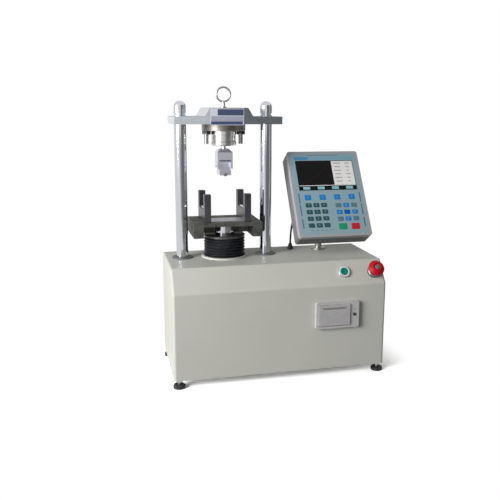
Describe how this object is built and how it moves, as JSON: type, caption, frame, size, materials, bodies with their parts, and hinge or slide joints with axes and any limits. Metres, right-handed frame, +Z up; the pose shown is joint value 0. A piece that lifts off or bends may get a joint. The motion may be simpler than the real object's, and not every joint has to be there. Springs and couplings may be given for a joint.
{
  "type": "cement flexural strength tester",
  "caption": "Bench tester that bends a mortar prism between rollers with a screw-driven ram, twin columns, load cell and tilting keypad unit on a steel cabinet.",
  "frame": {"origin": "centre of the overall box at the height of the bench, under the four feet", "axes": "+Z up, +Y from the front panel to the rear cover, +X to the right along the front"},
  "size_m": [0.533, 0.262, 0.708],
  "materials": {
    "cabinet_paint": "satin cream powder coat",
    "zinc_steel": "zinc plated",
    "dark_steel": "ground steel, oiled",
    "frame_steel": "grey primer",
    "chrome_plate": "hard chrome, polished",
    "fixture_steel": "blackened steel",
    "platen_steel": "blackened steel, worn",
    "flange_steel": "machined steel",
    "cell_steel": "bright turned steel",
    "load_steel": "ground steel",
    "black_oxide": "black oxide",
    "bronze": "machined bronze",
    "bellows_rubber": "moulded black rubber",
    "foot_rubber": "black rubber",
    "belt_rubber": "black belt",
    "motor_paint": "black enamel",
    "driver_alloy": "anodised",
    "label_plate": "printed plate, plain bands",
    "green_plastic": "green moulded",
    "red_plastic": "red moulded",
    "black_plastic": "black moulded",
    "printer_plastic": "off-white moulded",
    "paper": "thermal paper",
    "unit_paint": "grey powder coat",
    "unit_cover_paint": "dark grey powder coat",
    "keypad_film": "printed membrane",
    "board": "display and circuit board",
    "cable_sheath": "black sheath"
  },
  "bodies": {
    "cabinet": {"cabinet_shell": "cabinet_paint", "rear_cover": "cabinet_paint", "bottom_plate": "zinc_steel", "foot_pads": "foot_rubber", "frame_fasteners": "black_oxide", "sub_frame": "frame_steel", "drive_base": "frame_steel", "columns": "chrome_plate", "column_collars": "cabinet_paint", "dome_nuts": "chrome_plate", "crosshead": "dark_steel", "crosshead_label": "label_plate", "eyebolt": "zinc_steel", "load_cell_flange": "flange_steel", "load_cell_body": "cell_steel", "load_clevis": "load_steel", "clevis_pin": "load_steel", "bellows_ring": "cabinet_paint", "guide_housing": "frame_steel", "guide_bushes": "bronze", "screw_bearings": "zinc_steel", "drive_belt": "belt_rubber", "motor_bracket": "frame_steel", "motor": "motor_paint", "motor_driver": "driver_alloy", "start_bezel": "chrome_plate", "stop_collar": "chrome_plate", "switch_blocks": "black_plastic", "printer_housing": "printer_plastic", "control_post": "zinc_steel", "cable_gland": "black_plastic", "control_cable": "cable_sheath", "power_inlet": "black_plastic", "case_screws": "zinc_steel"},
    "ram": {"ram": "chrome_plate", "platen": "platen_steel", "span_scale": "cell_steel", "supports": "fixture_steel", "fixture_screws": "black_oxide", "bellows": "bellows_rubber", "bellows_collar": "zinc_steel", "screw_nut": "bronze"},
    "screw": {"lead_screw": "zinc_steel", "driven_pulley": "driver_alloy"},
    "motor_shaft": {"motor_pulley": "driver_alloy"},
    "support_roller_left": {"support_roller_left": "chrome_plate"},
    "support_roller_right": {"support_roller_right": "chrome_plate"},
    "load_nose": {"load_nose": "load_steel"},
    "load_roller": {"load_roller": "chrome_plate"},
    "start_button": {"start_button": "green_plastic"},
    "stop_head": {"stop_head": "red_plastic"},
    "printer_door": {"printer_door": "printer_plastic"},
    "paper_roll": {"paper_roll": "paper"},
    "feed_key": {"feed_key": "black_plastic"},
    "control_unit": {"control_front": "unit_paint", "control_keypad": "keypad_film", "control_board": "board", "control_rear_cover": "unit_cover_paint"},
    "tilt_knob": {"tilt_knob": "black_plastic"},
    "power_rocker": {"power_rocker": "black_plastic"}
  },
  "joints": [
    {"name": "ram_slide", "type": "slide", "parent": "cabinet", "child": "ram", "axis": [0, 0, 1], "range_m": [0, 0.045], "deforming": ["bellows"]},
    {"name": "screw_spin", "type": "hinge", "parent": "cabinet", "child": "screw", "pos_m": [-0.114, 0.04, 0.101], "axis": [0, 0, 1], "range_deg": [-1622, 2]},
    {"name": "motor_spin", "type": "hinge", "parent": "cabinet", "child": "motor_shaft", "pos_m": [0.09, 0.04, 0.101], "axis": [0, 0, 1], "range_deg": [-3244, 4]},
    {"name": "left_roller_spin", "type": "hinge", "parent": "ram", "child": "support_roller_left", "pos_m": [-0.164, 0.04, 0.409], "axis": [0, 1, 0], "continuous": true},
    {"name": "right_roller_spin", "type": "hinge", "parent": "ram", "child": "support_roller_right", "pos_m": [-0.064, 0.04, 0.409], "axis": [0, 1, 0], "continuous": true},
    {"name": "nose_rock", "type": "hinge", "parent": "cabinet", "child": "load_nose", "pos_m": [-0.114, 0.04, 0.518], "axis": [1, 0, 0], "range_deg": [-5, 5]},
    {"name": "load_roller_spin", "type": "hinge", "parent": "load_nose", "child": "load_roller", "pos_m": [-0.114, 0.04, 0.494], "axis": [0, 1, 0], "continuous": true},
    {"name": "start_press", "type": "slide", "parent": "cabinet", "child": "start_button", "axis": [0, 0.7894, -0.6139], "range_m": [0, 0.0035], "stiffness_N_per_m": 300, "springref_m": -0.002},
    {"name": "stop_press", "type": "slide", "parent": "cabinet", "child": "stop_head", "axis": [0, 0.7894, -0.6139], "range_m": [0, 0.005]},
    {"name": "printer_door_hinge", "type": "hinge", "parent": "cabinet", "child": "printer_door", "pos_m": [0.1272, -0.1275, 0.135], "axis": [1, 0, 0], "range_deg": [0, 95]},
    {"name": "paper_roll_spin", "type": "hinge", "parent": "cabinet", "child": "paper_roll", "pos_m": [0.1272, -0.083, 0.1585], "axis": [1, 0, 0], "continuous": true},
    {"name": "feed_key_press", "type": "slide", "parent": "cabinet", "child": "feed_key", "axis": [0, 1, 0], "range_m": [0, 0.001], "stiffness_N_per_m": 300, "springref_m": -0.001},
    {"name": "unit_tilt", "type": "hinge", "parent": "cabinet", "child": "control_unit", "pos_m": [0.148, 0.069, 0.405], "axis": [1, 0, 0], "range_deg": [-25, 20]},
    {"name": "knob_turn", "type": "hinge", "parent": "cabinet", "child": "tilt_knob", "pos_m": [0.172, 0.069, 0.405], "axis": [1, 0, 0], "range_deg": [0, 360]},
    {"name": "rocker_tilt", "type": "hinge", "parent": "cabinet", "child": "power_rocker", "pos_m": [-0.19, 0.125, 0.096], "axis": [1, 0, 0], "range_deg": [0, 24]}
  ],
  "couplings": [
    {"joint": "screw_spin", "follows": "ram_slide", "rad_per_m": -628.32},
    {"joint": "motor_spin", "follows": "ram_slide", "rad_per_m": -1256.6}
  ]
}
